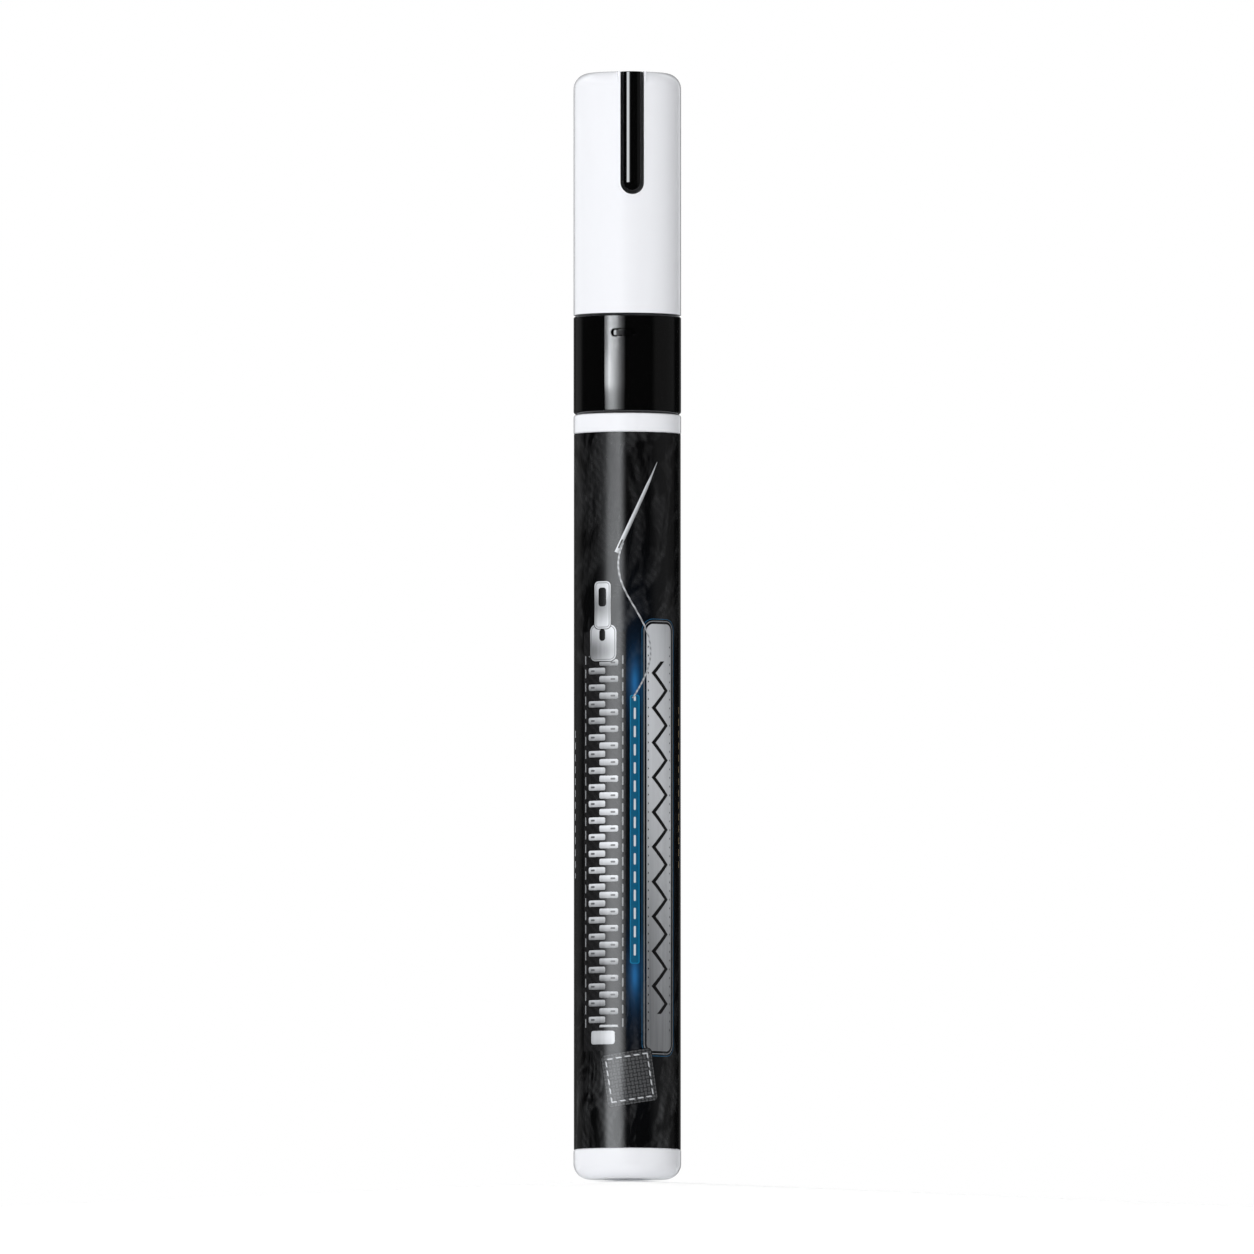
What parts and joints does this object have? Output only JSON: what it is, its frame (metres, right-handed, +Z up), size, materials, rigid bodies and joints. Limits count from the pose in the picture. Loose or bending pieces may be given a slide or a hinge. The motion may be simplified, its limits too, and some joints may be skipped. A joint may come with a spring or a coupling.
{
  "type": "fabric repair marker",
  "caption": "Slim round valve-action felt marker standing on its foot, with a white push-on cap, a gloss black collar and a printed barrel sleeve.",
  "frame": {"origin": "centre of the pen's footprint, on the surface that its foot stands on", "axes": "+Z up the pen's axis from the foot to the cap's crown, -Y towards the rib in the cap and the window in the collar"},
  "size_m": [0.0136, 0.0139, 0.14],
  "materials": {
    "white_plastic": "white moulded plastic, soft gloss",
    "black_plastic": "black moulded plastic, high gloss",
    "label_print": "printed film in near black, silver grey and teal, satin gloss",
    "nib_felt": "bonded fibre, matt",
    "valve_plastic": "natural moulded plastic, satin",
    "seal_cup_plastic": "soft milky plastic, satin",
    "seal_rubber": "black rubber, matt",
    "spring_steel": "drawn stainless wire",
    "ball_steel": "polished steel"
  },
  "bodies": {
    "body": {"barrel": "white_plastic", "label_sleeve": "label_print", "front_collar": "black_plastic", "nib_holder": "black_plastic", "valve_body": "valve_plastic", "spring_cup": "valve_plastic", "valve_spring": "spring_steel"},
    "cap": {"cap_shell": "white_plastic", "colour_rib": "black_plastic", "inner_cap": "seal_cup_plastic"},
    "nib": {"nib": "nib_felt"},
    "stem": {"valve_stem": "valve_plastic", "stem_seal": "seal_rubber"},
    "ball_1": {"mixing_ball_1": "ball_steel"},
    "ball_2": {"mixing_ball_2": "ball_steel"}
  },
  "joints": [
    {"name": "cap_pull", "type": "slide", "parent": "body", "child": "cap", "axis": [0, 0, 1], "range_m": [0, 0.04]},
    {"name": "nib_press", "type": "slide", "parent": "body", "child": "nib", "axis": [0, 0, -1], "range_m": [0, 0.002], "stiffness_N_per_m": 500, "springref_m": -0.0015},
    {"name": "stem_press", "type": "slide", "parent": "body", "child": "stem", "axis": [0, 0, -1], "range_m": [0, 0.002], "deforming": ["valve_spring"]},
    {"name": "ball_1_rise", "type": "slide", "parent": "body", "child": "ball_1", "axis": [0, 0, 1], "range_m": [0, 0.073]},
    {"name": "ball_2_rise", "type": "slide", "parent": "body", "child": "ball_2", "axis": [0, 0, 1], "range_m": [0, 0.073]}
  ],
  "couplings": [
    {"joint": "stem_press", "follows": "nib_press", "ratio": 1}
  ]
}
